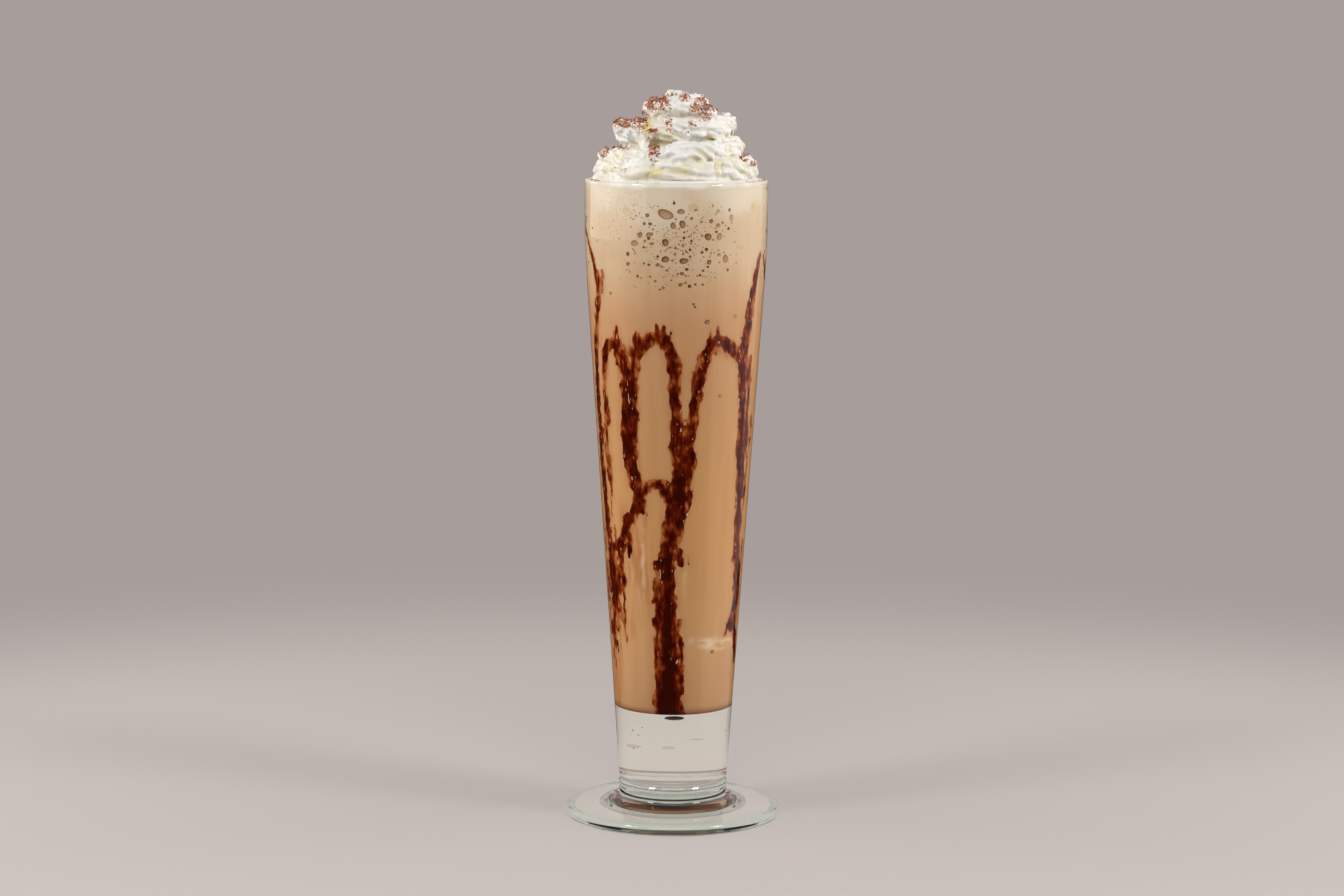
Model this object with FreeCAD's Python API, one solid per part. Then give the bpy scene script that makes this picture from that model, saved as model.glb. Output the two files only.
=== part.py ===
import FreeCAD, Part
import math
import os

# A coffee milkshake in its tall footed soda glass, topped with a piped swirl of whipped cream.
# Millimetres, +Z up. The origin is the centre of the foot, on the surface the glass stands on.

# ---- driving dimensions -------------------------------------------------------------------------

# The glass as a whole
glass_height = 235.0
rim_radius = 33.2
foot_radius = 39.8

# The bowl: a straight taper that turns upright at the shoulder, over a thick clear base
neck_top = 17.0
neck_radius = 19.85
shoulder_drop = 24.5
shoulder_reach = 18.0
cup_floor = 41.0
floor_corner = 3.5
wall_at_rim = 2.4
wall_at_floor = 3.0

# The neck: a groove, a bead and a concave flare, one under the other
groove_height = 2.4
groove_depth = 0.45
bead_height = 2.0
bead_out = 0.25
flare_waist = 0.9
flare_out = 3.35
flare_foot = 7.0

# The foot: a shallow dome with a round edge, hollowed underneath
foot_edge = 5.0
edge_round = 3.0
edge_widest = 2.4
rest_inset = 1.4
recess_radius = 24.5
recess_depth = 1.8
recess_slope = 1.2

# The contents, from the bottom up: shake, froth, then cream that plugs the mouth
fill_clearance = 0.05
froth_depth = 29.4
cream_plug = 2.6

# The cream swirl: one ribbed, ruffled rope, laid in rising turns that draw in to a tip. Its way is
# given at each half turn, as shares of the widest turn's radius and of the height climbed
cream_rise = 32.0
rope_radius = 5.2
tip_rope_radius = 3.7
rope_spread = (1.0, 1.0, 1.0, 0.97, 0.81, 0.76, 0.71, 0.32, 0.33, 0.04)
rope_climb = (0.0, 0.04, 0.11, 0.22, 0.38, 0.58, 0.68, 0.88, 0.95, 1.0)
rope_ribs = 7
rib_depth = 0.6
rib_twist = 1.3
ruffles_a_turn = 22
ruffle_depth = 0.45
cream_lip = 0.7
facets_round = 96
facets_up = 42
lowest_tilt = 2.0
highest_tilt = 88.0

os.makedirs("parts", exist_ok=True)


def point(radius, height):
    return FreeCAD.Vector(radius, 0, height)


def line(start, end):
    return Part.LineSegment(point(*start), point(*end)).toShape()


def arc(start, through, end):
    return Part.Arc(point(*start), point(*through), point(*end)).toShape()


def turned(edges):
    """The solid swept by a closed outline of edges about the glass's axis."""
    face = Part.Face(Part.Wire(Part.__sortEdges__(edges)))
    return face.revolve(FreeCAD.Vector(0, 0, 0), FreeCAD.Vector(0, 0, 1), 360)


# ---- the glass's walls --------------------------------------------------------------------------

mouth_radius = rim_radius - wall_at_rim
rim_base = glass_height - wall_at_rim / 2
shoulder_height = glass_height - shoulder_drop


def bent_wall(low_radius, low_height, upright_radius, top_height):
    """A wall's outline going up: a cone, a long tangent arc at the shoulder, then upright."""
    lean = math.atan2(upright_radius - low_radius, shoulder_height - low_height)
    bend_radius = shoulder_reach / math.tan(lean / 2)
    low = (low_radius, low_height)
    bend_start = (
        upright_radius - shoulder_reach * math.sin(lean),
        shoulder_height - shoulder_reach * math.cos(lean),
    )
    bend_middle = (
        upright_radius - bend_radius * (1 - math.cos(lean / 2)),
        shoulder_height + shoulder_reach - bend_radius * math.sin(lean / 2),
    )
    bend_end = (upright_radius, shoulder_height + shoulder_reach)
    top = (upright_radius, top_height)
    return [line(low, bend_start), arc(bend_start, bend_middle, bend_end), line(bend_end, top)]


def outer_radius_at(height):
    """The bowl's outer radius on its straight taper."""
    share = (height - neck_top) / (shoulder_height - neck_top)
    return neck_radius + share * (rim_radius - neck_radius)


def cavity_edges(clearance, top_height):
    """The inside of the cup, brought in by a clearance, from the middle of its floor to a height."""
    floor = cup_floor + clearance
    corner_radius = outer_radius_at(cup_floor) - wall_at_floor - clearance
    corner_start = (corner_radius - floor_corner, floor)
    corner_middle = (
        corner_radius - floor_corner * (1 - math.sin(math.pi / 4)),
        floor + floor_corner * (1 - math.cos(math.pi / 4)),
    )
    corner_end = (corner_radius, floor + floor_corner)
    floor_edges = [line((0, floor), corner_start), arc(corner_start, corner_middle, corner_end)]
    return floor_edges + bent_wall(*corner_end, mouth_radius - clearance, top_height)


# ---- glass --------------------------------------------------------------------------------------


def build_glass():
    """Cup, solid base, beaded neck and foot, in one piece of glass."""
    rim_crest = (rim_radius - wall_at_rim / 2, glass_height)
    rim = [arc((mouth_radius, rim_base), rim_crest, (rim_radius, rim_base))]
    neck_corner = (neck_radius, neck_top)
    outside = bent_wall(*neck_corner, rim_radius, rim_base)

    groove_foot = (neck_radius, neck_top - groove_height)
    groove = arc(neck_corner, (neck_radius - groove_depth, neck_top - groove_height / 2), groove_foot)
    bead_middle = (neck_radius + bead_out, groove_foot[1] - bead_height / 2)
    bead_foot = (neck_radius, groove_foot[1] - bead_height)
    bead = arc(groove_foot, bead_middle, bead_foot)
    flare_end = (neck_radius + flare_out, flare_foot)
    flare_middle = (neck_radius + flare_waist, (bead_foot[1] + flare_foot) / 2 - flare_waist)
    flare = arc(bead_foot, flare_middle, flare_end)

    dome_end = (foot_radius - edge_round, foot_edge)
    rest_edge = (foot_radius - rest_inset, 0)
    edge = arc(dome_end, (foot_radius, edge_widest), rest_edge)
    recess_rim = (recess_radius, 0)
    recess_top = (recess_radius - recess_slope, recess_depth)
    foot = [
        line(flare_end, dome_end),
        edge,
        line(rest_edge, recess_rim),
        line(recess_rim, recess_top),
        line(recess_top, (0, recess_depth)),
    ]
    axis = [line((0, recess_depth), (0, cup_floor))]
    inside = cavity_edges(0, rim_base)
    return turned(axis + inside + rim + outside + [groove, bead, flare] + foot)


# ---- shake and froth ----------------------------------------------------------------------------

fill_radius = mouth_radius - fill_clearance
froth_top = glass_height - cream_plug
froth_bottom = froth_top - froth_depth


def build_contents():
    """The shake and the froth on it, cut at their level from what the cup can hold."""
    floor_middle = (0, cup_floor + fill_clearance)
    closing = [
        line((fill_radius, froth_top), (0, froth_top)),
        line((0, froth_top), floor_middle),
    ]
    whole = turned(cavity_edges(fill_clearance, froth_top) + closing)
    upper = Part.makeCylinder(rim_radius, froth_depth, FreeCAD.Vector(0, 0, froth_bottom))
    return whole.cut(upper), whole.common(upper)


# ---- whipped cream ------------------------------------------------------------------------------

coil_radius = fill_radius - rope_radius - cream_lip
coil_start = glass_height + cream_lip
coil_end = glass_height + cream_rise - tip_rope_radius
half_turns = len(rope_spread) - 1


def eased(values, half_turn):
    """A value that passes smoothly from one half turn's value to the next."""
    low = min(int(half_turn), half_turns - 1)
    part = half_turn - low
    ease = part * part * (3 - 2 * part)
    return values[low] * (1 - ease) + values[low + 1] * ease


def rope_at(half_turn):
    """The rope's distance from the axis, its height and its thickness, after so many half turns."""
    distance = coil_radius * eased(rope_spread, half_turn)
    height = coil_start + (coil_end - coil_start) * eased(rope_climb, half_turn)
    thickness = rope_radius + (tip_rope_radius - rope_radius) * half_turn / half_turns
    ruffle = ruffle_depth * (math.cos(ruffles_a_turn * math.pi * half_turn) - 1) / 2
    return distance, height, thickness + ruffle


def rope_crossings(azimuth):
    """The half turns made at each place where the rope passes an azimuth."""
    first = (azimuth / math.pi) % 2
    passes = [first + 2 * turn for turn in range(half_turns // 2 + 1)]
    return [passed for passed in passes if passed <= half_turns]


def reach(azimuth, tilt):
    """How far the cream reaches from its core, in the direction of an azimuth and a tilt upwards."""
    out, up = math.cos(tilt), math.sin(tilt)
    heart_wide, heart_high = coil_radius - rope_radius, coil_end - coil_start - rope_radius / 2
    furthest = 1 / math.hypot(out / heart_wide, up / heart_high)
    for passed in rope_crossings(azimuth):
        distance, height, thickness = rope_at(passed)
        ahead = distance * out + (height - coil_start) * up
        aside = (height - coil_start) * out - distance * up
        if abs(aside) >= thickness:
            continue
        round_rope = math.asin(aside / thickness) - tilt
        rib = math.cos(rope_ribs * (round_rope + rib_twist * passed))
        swollen = thickness + rib_depth * (rib - 1) / 2
        if abs(aside) < swollen:
            furthest = max(furthest, ahead + math.sqrt(swollen**2 - aside**2))
    return furthest


def cream_rings():
    """Rings of points up the cream: its flat underside, its edge in the mouth, then the swirl."""
    rings = []
    for radius, height in (
        (fill_radius, froth_top),
        (fill_radius, rim_base),
        (fill_radius - cream_lip, glass_height + cream_lip / 2),
    ):
        rings.append([(radius, height)] * facets_round)
    for step in range(facets_up):
        tilt = math.radians(lowest_tilt + (highest_tilt - lowest_tilt) * step / (facets_up - 1))
        ring = []
        for facet in range(facets_round):
            distance = reach(2 * math.pi * facet / facets_round, tilt)
            radius = distance * math.cos(tilt)
            ring.append((radius, coil_start + distance * math.sin(tilt)))
        rings.append(ring)
    return rings


def build_cream():
    """The piped swirl and the plug of cream under it, as one closed faceted solid."""
    rings = []
    for ring in cream_rings():
        places = []
        for facet, (radius, height) in enumerate(ring):
            azimuth = 2 * math.pi * facet / facets_round
            place = FreeCAD.Vector(radius * math.cos(azimuth), radius * math.sin(azimuth), height)
            places.append(place)
        rings.append(places)
    bottom = FreeCAD.Vector(0, 0, froth_top)
    tip = FreeCAD.Vector(0, 0, glass_height + cream_rise)
    triangles = []
    for facet in range(facets_round):
        after = (facet + 1) % facets_round
        triangles.append((bottom, rings[0][after], rings[0][facet]))
        triangles.append((tip, rings[-1][facet], rings[-1][after]))
        for lower, upper in zip(rings, rings[1:]):
            triangles.append((lower[facet], lower[after], upper[after]))
            triangles.append((lower[facet], upper[after], upper[facet]))
    faces = [Part.Face(Part.makePolygon([a, b, c, a])) for a, b, c in triangles]
    return Part.Solid(Part.makeShell(faces))


# ---- the sub-parts ------------------------------------------------------------------------------

shake, froth = build_contents()
nodes = {
    "glass": build_glass(),
    "milkshake": shake,
    "froth": froth,
    "whipped_cream": build_cream(),
}
for name, shape in nodes.items():
    shape.exportStep(f"parts/{name}.step")
    box = shape.BoundBox
    print(name, len(shape.Solids), shape.isValid(), round(shape.Volume / 1000, 2), "ml", box)
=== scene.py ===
import math

import bpy
import numpy as np
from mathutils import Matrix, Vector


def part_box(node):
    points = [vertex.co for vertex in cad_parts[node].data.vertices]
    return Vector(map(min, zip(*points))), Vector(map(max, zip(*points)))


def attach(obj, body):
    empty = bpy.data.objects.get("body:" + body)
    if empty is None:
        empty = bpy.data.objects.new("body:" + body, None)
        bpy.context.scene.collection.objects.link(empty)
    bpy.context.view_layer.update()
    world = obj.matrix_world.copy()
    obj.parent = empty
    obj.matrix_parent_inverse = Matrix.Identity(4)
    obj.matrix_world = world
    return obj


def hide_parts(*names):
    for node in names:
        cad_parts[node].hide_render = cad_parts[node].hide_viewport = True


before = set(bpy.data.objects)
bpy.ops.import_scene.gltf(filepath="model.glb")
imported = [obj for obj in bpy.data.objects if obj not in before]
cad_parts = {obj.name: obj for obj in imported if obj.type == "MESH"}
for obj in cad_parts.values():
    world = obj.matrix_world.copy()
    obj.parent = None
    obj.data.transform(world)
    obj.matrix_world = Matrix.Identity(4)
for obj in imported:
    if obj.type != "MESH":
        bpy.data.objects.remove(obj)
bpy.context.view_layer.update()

# ---- the glass ----------------------------------------------------------------------------------
# A tall soda glass, pressed in one piece: a tapering cup with a rounded rim, a thick clear base,
# a beaded neck and a round foot that is hollowed underneath. Clear soda-lime glass with a faint
# green cast, fire-polished. Sizes are in millimetres, and each outline goes corner by corner.

MM = 0.001
fill_clearance = 0.05
wall_at_rim = 2.4
wall_at_floor = 3.0
floor_corner = 3.5
shoulder_drop = 24.5
shoulder_round = 500.0
rim_round = 1.2
neck_height = 17.0
neck_radius = 19.85
rest_radius = 35.3
hollow_radius = 27.0
hollow_depth = 1.8
glass_facets = 192
glass_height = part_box("glass")[1].z / MM
foot_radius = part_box("glass")[1].x / MM
mouth_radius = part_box("froth")[1].x / MM + fill_clearance
rim_radius = mouth_radius + wall_at_rim
cup_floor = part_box("milkshake")[0].z / MM - fill_clearance
shoulder = glass_height - shoulder_drop
widened = (cup_floor - neck_height) * (rim_radius - neck_radius) / (shoulder - neck_height)
floor_radius = neck_radius + widened - wall_at_floor


def rounded(corners):
    """An outline through corners of (radius, height, rounding), with an arc at each rounded corner.

    Points close to both ends of a long straight stretch keep its shading straight.
    """
    guard = 0.3
    longest_turn = math.radians(9)
    outline = []
    for index, (radius, height, rounding) in enumerate(corners):
        here = np.array((radius, height), float)
        if not rounding:
            outline.append(here)
            continue
        back = np.array(corners[index - 1][:2]) - here
        ahead = np.array(corners[index + 1][:2]) - here
        back_length, ahead_length = np.hypot(*back), np.hypot(*ahead)
        back, ahead = back / back_length, ahead / ahead_length
        half = math.acos(max(-1.0, min(1.0, float(back @ ahead)))) / 2
        reach = min(rounding / math.tan(half), back_length * 0.499, ahead_length * 0.499)
        size = reach * math.tan(half)
        centre = here + (back + ahead) / np.hypot(*(back + ahead)) * reach / math.cos(half)
        start, end = here + back * reach, here + ahead * reach
        steps = max(3, int((math.pi - 2 * half) / longest_turn))
        for step in range(steps + 1):
            way = start + (end - start) * step / steps - centre
            outline.append(centre + way / np.hypot(*way) * size)
    guarded = [outline[0]]
    for low, high in zip(outline, outline[1:]):
        length = np.hypot(*(high - low))
        if length > 5 * guard:
            inset = (high - low) * guard / length
            guarded += [low + inset, high - inset]
        guarded.append(high)
    return np.array(guarded)


def new_piece(name, points, faces, node=None):
    """A smooth-shaded mesh piece from points in millimetres, riding on the object's one body."""
    mesh = bpy.data.meshes.new(name)
    mesh.from_pydata((np.asarray(points) * MM).tolist(), [], faces)
    mesh.validate()
    mesh.shade_smooth()
    mesh.set_sharp_from_angle(angle=math.radians(50))
    piece = bpy.data.objects.new(name, mesh)
    bpy.context.scene.collection.objects.link(piece)
    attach(piece, "root")
    if node:
        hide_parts(node)
    return piece


def turned(outline, facets):
    """Points and faces of an outline swept about the axis, closed with a fan where it meets the axis."""
    angles = np.arange(facets) * 2 * np.pi / facets
    points, rings, faces = [], [], []
    for radius, height in outline:
        if radius < 1e-6:
            rings.append([len(points)] * facets)
            points.append((0.0, 0.0, height))
            continue
        rings.append(list(range(len(points), len(points) + facets)))
        points += [(radius * np.cos(a), radius * np.sin(a), height) for a in angles]
    for low, high in zip(rings, rings[1:]):
        for facet in range(facets):
            after = (facet + 1) % facets
            corners = [low[facet], low[after], high[after], high[facet]]
            faces.append(list(dict.fromkeys(corners)))
    return points, faces


inner_wall = rounded([
    (0, cup_floor, 0),
    (floor_radius, cup_floor, floor_corner),
    (mouth_radius, shoulder, shoulder_round),
    (mouth_radius, glass_height, rim_round),
    (rim_radius, glass_height, 0),
])
rim_inner = inner_wall[:-1]

# the inside of the wall that the drink wets, from above the floor's corner to under the rim's round
above_corner = rim_inner[:, 1] > cup_floor + 3.0
below_rim = rim_inner[:, 1] <= glass_height - 1.0
wall_curve = rim_inner[above_corner & below_rim]


def wall_radius(height):
    """The cup's inner radius at a height."""
    return np.interp(height, wall_curve[:, 1], wall_curve[:, 0])


outer_wall = rounded([
    (mouth_radius, glass_height, 0),
    (rim_radius, glass_height, rim_round),
    (rim_radius, shoulder, shoulder_round),
    # the neck: a groove, a bead and a lower groove
    (neck_radius, 15.4, 0.35),
    (neck_radius - 0.75, 14.3, 0.9),
    (neck_radius + 0.1, 13.1, 0.7),
    (neck_radius + 0.25, 11.9, 0.9),
    (neck_radius - 0.25, 10.8, 0.9),
    # the flare, the dome of the foot and its round edge
    (neck_radius + 0.55, 7.6, 3.0),
    (neck_radius + 3.8, 6.5, 5.0),
    (foot_radius + 0.12, 4.3, 2.4),
    (foot_radius - 0.2, 0.65, 1.2),
    # the ring that it stands on, and the hollow inside that
    (rest_radius, 0.0, 0.8),
    (hollow_radius, 0.0, 0.8),
    (hollow_radius - 2.4, 0.3, 0.5),
    (hollow_radius - 3.7, hollow_depth, 0.6),
    (0, hollow_depth, 0),
])[1:]
glass_outline = np.vstack([rim_inner, outer_wall])[::-1]
glass = new_piece("soda_glass", *turned(glass_outline, glass_facets), "glass")


class Value:
    """A shader socket that takes part in sums, and from which further nodes are made."""

    def __init__(self, tree, socket):
        self.tree = tree
        self.socket = socket

    def node(self, kind, settings=None, values=None, out=0):
        """An output of a new node, from its settings and then its sockets' values or links."""
        made = self.tree.nodes.new("ShaderNode" + kind)
        for name, setting in (settings or {}).items():
            if name == "stops":
                ramp = made.color_ramp
                while len(ramp.elements) < len(setting):
                    ramp.elements.new(0.5)
                for element, (position, shade) in zip(ramp.elements, setting):
                    element.position = position
                    element.color = shade
            else:
                setattr(made, name, setting)
        for name, value in (values or {}).items():
            if isinstance(value, Value):
                self.tree.links.new(value.socket, made.inputs[name])
            else:
                made.inputs[name].default_value = value
        return Value(self.tree, made.outputs[out])

    def arithmetic(self, operation, first, second):
        return self.node("Math", {"operation": operation}, {0: first, 1: second})

    def __add__(self, other):
        return self.arithmetic("ADD", self, other)

    def __radd__(self, other):
        return self.arithmetic("ADD", other, self)

    def __sub__(self, other):
        return self.arithmetic("SUBTRACT", self, other)

    def __rsub__(self, other):
        return self.arithmetic("SUBTRACT", other, self)

    def __mul__(self, other):
        return self.arithmetic("MULTIPLY", self, other)

    def __rmul__(self, other):
        return self.arithmetic("MULTIPLY", other, self)

    def __truediv__(self, other):
        return self.arithmetic("DIVIDE", self, other)

    def either(self, other):
        """The greater of two values."""
        return self.arithmetic("MAXIMUM", self, other)

    def clamped(self):
        return self.node("Clamp", None, {0: self})

    def rise(self, low, high):
        """0 below low, 1 above high, and a smooth step between."""
        settings = {"interpolation_type": "SMOOTHSTEP"}
        return self.node("MapRange", settings, {0: self, 1: low, 2: high, 3: 0.0, 4: 1.0})

    def blend(self, first, second):
        """From the first colour to the second as this value goes from 0 to 1."""
        settings = {"data_type": "RGBA", "clamp_factor": True}
        return self.node("Mix", settings, {0: self, 6: first, 7: second}, out=2)

    def between(self, first, second):
        """From the first shader to the second as this value goes from 0 to 1."""
        return self.node("MixShader", None, {0: self, 1: first, 2: second})

    def ramp(self, *stops):
        """A colour that passes the stops (value, red, green, blue) as this value rises."""
        settings = {"stops": [(position, colour(*shade)) for position, *shade in stops]}
        return self.node("ValToRGB", settings, {"Fac": self})

    def height(self):
        """How high a place is, or how far up a direction points."""
        return self.node("SeparateXYZ", None, {"Vector": self}, out="Z")

    def length(self):
        """How far a place is from the origin."""
        return self.node("VectorMath", {"operation": "LENGTH"}, {0: self}, out="Value")

    def mottle(self, across, detail, along=None):
        """Smooth noise at a place, so many lumps to a metre across, and another number up it."""
        if along:
            squeezed = self.node("Mapping", None, {"Vector": self, "Scale": (across, across, along)})
            return squeezed.mottle(1.0, detail)
        return self.node("TexNoise", None, {"Vector": self, "Scale": across, "Detail": detail})

    def stored(self, name):
        """The number that a piece stores under a name at each of its points."""
        return self.node("Attribute", {"attribute_name": name}, out="Fac")

    def ray(self, kind):
        """1 for light of one kind, such as what the camera sees or a mirror shows, and else 0."""
        return self.node("LightPath", out=f"Is {kind} Ray")

    def surface(self, base_colour, roughness, others=None):
        """A surface of a colour and a roughness, with any other sockets that it needs."""
        values = {"Base Color": base_colour, "Roughness": roughness, **(others or {})}
        return self.node("BsdfPrincipled", None, values)


def colour(*seen):
    """Red, green and blue as they are seen, turned into the linear colour that shaders use."""
    linear = [v / 12.92 if v <= 0.04045 else ((v + 0.055) / 1.055) ** 2.4 for v in seen]
    return (*linear, 1.0)


def new_material(name):
    """A material with an empty tree, and the place on the object in metres to build from."""
    material = bpy.data.materials.new(name)
    material.use_nodes = True
    material.node_tree.nodes.clear()
    coordinates = material.node_tree.nodes.new("ShaderNodeTexCoord")
    return material, Value(material.node_tree, coordinates.outputs["Object"])


def finish_material(material, shader, piece):
    """Joins the last shader to the material's output and gives the material to the piece."""
    output = material.node_tree.nodes.new("ShaderNodeOutputMaterial")
    material.node_tree.links.new(shader.socket, output.inputs["Surface"])
    piece.data.materials.clear()
    piece.data.materials.append(material)


clear_glass, place = new_material("clear_glass")
waves = place.mottle(55.0, 1.0)
ripple = place.node("Bump", None, {"Strength": 0.05, "Distance": 0.0006, "Height": waves})
height_here = place.height() / MM
flat_place = place.node("VectorMath", {"operation": "MULTIPLY"}, {0: place, 1: (1.0, 1.0, 0.0)})
out_from_axis = flat_place.length() / MM

# the green cast deepens where light runs far through the glass: all round the foot and at the
# foot's edge. On the ring of dome beside the neck and in the flare the tint is partly that green
# cast and partly painted shade, darker and greyer, for the dark ring and lines seen through them
foot_glass = (1 - height_here.rise(12.0, 20.0)) * out_from_axis.rise(18.0, 20.0)
edge_glass = (1 - height_here.rise(4.0, 6.0)) * out_from_axis.rise(34.0, 38.0)
ring_glass_shade = (1 - height_here.rise(7.6, 8.4)) * out_from_axis.rise(20.0, 21.0)
ring_glass_shade = ring_glass_shade * (1 - out_from_axis.rise(25.0, 27.5))
flare_glass_shade = height_here.rise(6.6, 7.4) * (1 - height_here.rise(10.2, 11.2))
flare_glass_shade = flare_glass_shade * out_from_axis.rise(19.0, 19.6)
glass_colour = foot_glass.blend(colour(0.985, 0.99, 0.975), colour(0.965, 0.98, 0.96))
glass_colour = edge_glass.blend(glass_colour, colour(0.85, 0.95, 0.895))
# painted shade, with some green cast: the ring beside the neck and the flare are tinted darker
glass_colour = ring_glass_shade.blend(glass_colour, colour(0.83, 0.88, 0.85))
glass_colour = flare_glass_shade.blend(glass_colour, colour(0.88, 0.92, 0.90))
body = place.surface(glass_colour, 0.0, {"IOR": 1.5, "Transmission Weight": 1.0, "Normal": ripple})

# lamps and soft light pass straight through it to what it holds
open_way = place.node("BsdfTransparent", None, {"Color": colour(0.98, 0.99, 0.985)})
glass_shader = place.ray("Shadow").either(place.ray("Diffuse")).between(body, open_way)
finish_material(clear_glass, glass_shader, glass)

# ---- the seeds ----------------------------------------------------------------------------------
# Seeds, as glassmakers call them: a few flat air bubbles and specks that were trapped in the thick
# base when it was pressed. The largest lies just under the floor of the cup.

seeds = [
    # sideways, backwards, height, half width, half thickness, strength
    (0.3, -4.0, 38.3, 2.7, 0.75, 0.9), (-10.0, 0.0, 26.7, 2.2, 0.6, 0.13),
    (-1.2, 0.0, 26.7, 1.7, 0.6, 0.1), (5.9, 0.0, 29.8, 1.9, 0.4, 0.1),
]
seed_rng = np.random.default_rng(8)
for _ in range(26):
    turn = seed_rng.choice([0.0, 2.2, 4.1]) + seed_rng.normal(-0.12, 0.1)
    away = seed_rng.uniform(17.5, 19.2)
    height = seed_rng.uniform(27, 36)
    size = seed_rng.uniform(0.15, 0.4)
    seeds.append((away * math.cos(turn), away * math.sin(turn), height, size, size * 0.6, 0.6))


def joined(parts):
    """Points and faces of many small meshes put together, each given as its points and faces."""
    points, faces = [], []
    for some_points, some_faces in parts:
        faces += [tuple(len(points) + corner for corner in face) for face in some_faces]
        points += np.asarray(some_points).tolist()
    return points, faces


def give_values(piece, name, values):
    """Stores one number for each point of a piece's mesh, for its material to read."""
    layer = piece.data.attributes.new(name, "FLOAT", "POINT")
    layer.data.foreach_set("value", np.asarray(values, np.float32))


bends = np.linspace(-np.pi / 2, np.pi / 2, 9)
lenses, strengths = [], []
for across, back, height, wide, thick, strength in seeds:
    points, faces = turned(np.stack([wide * np.cos(bends), thick * np.sin(bends)], axis=1), 24)
    lenses.append((np.array(points) + (across, back, height), faces))
    strengths += [strength] * len(points)
glass_seeds = new_piece("glass_seeds", *joined(lenses))
give_values(glass_seeds, "strength", strengths)

seed_finish, place = new_material("seed_finish")
# painted shade in the middle of each seed and a painted glint at its edge, for an air bubble
painted_edge_glint = place.node("LayerWeight", None, {"Blend": 0.35}, out="Facing")
seed_colour = painted_edge_glint.rise(0.75, 0.95).blend(colour(0.36, 0.33, 0.22), colour(0.92, 0.90, 0.86))
seed_shader = place.surface(seed_colour, 0.3, {"Alpha": place.stored("strength")})
finish_material(seed_finish, seed_shader, glass_seeds)

# ---- the chocolate syrup ------------------------------------------------------------------------
# Dark syrup, poured round the inside of the empty glass, where it ran down in arches, trunks and
# drips. It lies on the wall, between the glass and the shake, thick and nearly black in the
# middle of a run and thin, rusty and amber at its ragged edges.

# the wall as a grid: columns round it from the back, and rows up it from just above the floor
syrup_columns = 560
syrup_turn = 2 * np.pi / syrup_columns
syrup_step = 0.42
syrup_top = 222.0
syrup_rows = int((syrup_top - cup_floor) / syrup_step)
first_row = cup_floor + 0.2
angle_grid, height_grid = np.meshgrid(
    np.arange(syrup_columns) * syrup_turn - np.pi,
    first_row + np.arange(syrup_rows) * syrup_step,
)
radius_grid = wall_radius(height_grid)


def noise(points, size, seed):
    """Smooth noise from -1 to 1 at points, with lumps of one size or of a size for each axis."""
    scaled = np.asarray(points, float) / np.asarray(size, float)
    cell = np.floor(scaled).astype(np.int64)
    part = scaled - cell
    part = part * part * (3 - 2 * part)
    total = np.zeros(scaled.shape[:-1])
    for corner in np.ndindex(2, 2, 2):
        mixed = (cell + corner) @ np.array([73856093, 19349663, 83492791]) + seed * 2654435761
        mixed = (mixed ^ (mixed >> 13)) * 1274126177 & 0x7FFFFFFF
        value = ((mixed ^ (mixed >> 16)) & 0xFFFF) / 32767.5 - 1
        weight = np.prod(np.where(corner, part, 1 - part), axis=-1)
        total += value * weight
    return total


def on_wall(across, along, seed):
    """Noise over the wall, with lumps of these sizes across it and up it."""
    points = np.stack(
        [radius_grid * np.cos(angle_grid), radius_grid * np.sin(angle_grid), height_grid], axis=-1
    )
    return noise(points, (across, across, along), seed)


# how far the runs stray sideways and up or down from their smooth lines
wander = on_wall(7, 9, 1) * 0.7 + on_wall(2.2, 3.0, 2) * 0.45
sag = on_wall(6, 8, 3) * 0.8 + on_wall(2.0, 2.5, 4) * 0.4

bare_wall = -9.0
mm_a_degree = 0.45
run_spacing = 0.8
half_width = 0.62
ragged_reach = 3.5


def run_points(route):
    """Close points on a smooth line through a route, each an angle, a height and a width."""
    marks = np.array(route, float)
    lengths = np.hypot(np.diff(marks[:, 0]) * mm_a_degree, np.diff(marks[:, 1]))
    padded = np.vstack([2 * marks[0] - marks[1], marks, 2 * marks[-1] - marks[-2]])
    for span, length in enumerate(lengths):
        before, start, end, after = padded[span : span + 4]
        first = end - before
        second = 2 * before - 5 * start + 4 * end - after
        third = 3 * start - before - 3 * end + after
        steps = max(2, int(length / run_spacing))
        for t in np.arange(steps + 1) / steps:
            yield start + t / 2 * (first + t * (second + t * third))


def poured(routes):
    """A film over the wall, as millimetres in from its edge, from runs that are laid on it.

    A run's points are (degrees from the front, height, width).
    """
    film = np.full(height_grid.shape, bare_wall)
    for angle, height, width in (point for route in routes for point in run_points(route)):
        reach = width * half_width + ragged_reach
        low = max(0, int((height - reach - cup_floor) / syrup_step))
        high = int((height + reach - cup_floor) / syrup_step) + 1
        if high <= low:
            continue
        spread = reach / float(wall_radius(height)) / syrup_turn
        middle = (math.radians(angle) + np.pi) / syrup_turn
        columns = np.arange(int(middle - spread), int(middle + spread) + 2)
        rows, wrapped = slice(low, high), columns % syrup_columns
        turned_by = (columns - middle) * syrup_turn
        aside = turned_by * radius_grid[rows][:, wrapped] + wander[rows][:, wrapped]
        above = height_grid[rows][:, wrapped] - height + sag[rows][:, wrapped]
        depth = width * half_width - np.hypot(aside, above)
        film[rows, wrapped] = np.maximum(film[rows, wrapped], depth)
    return film


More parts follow.
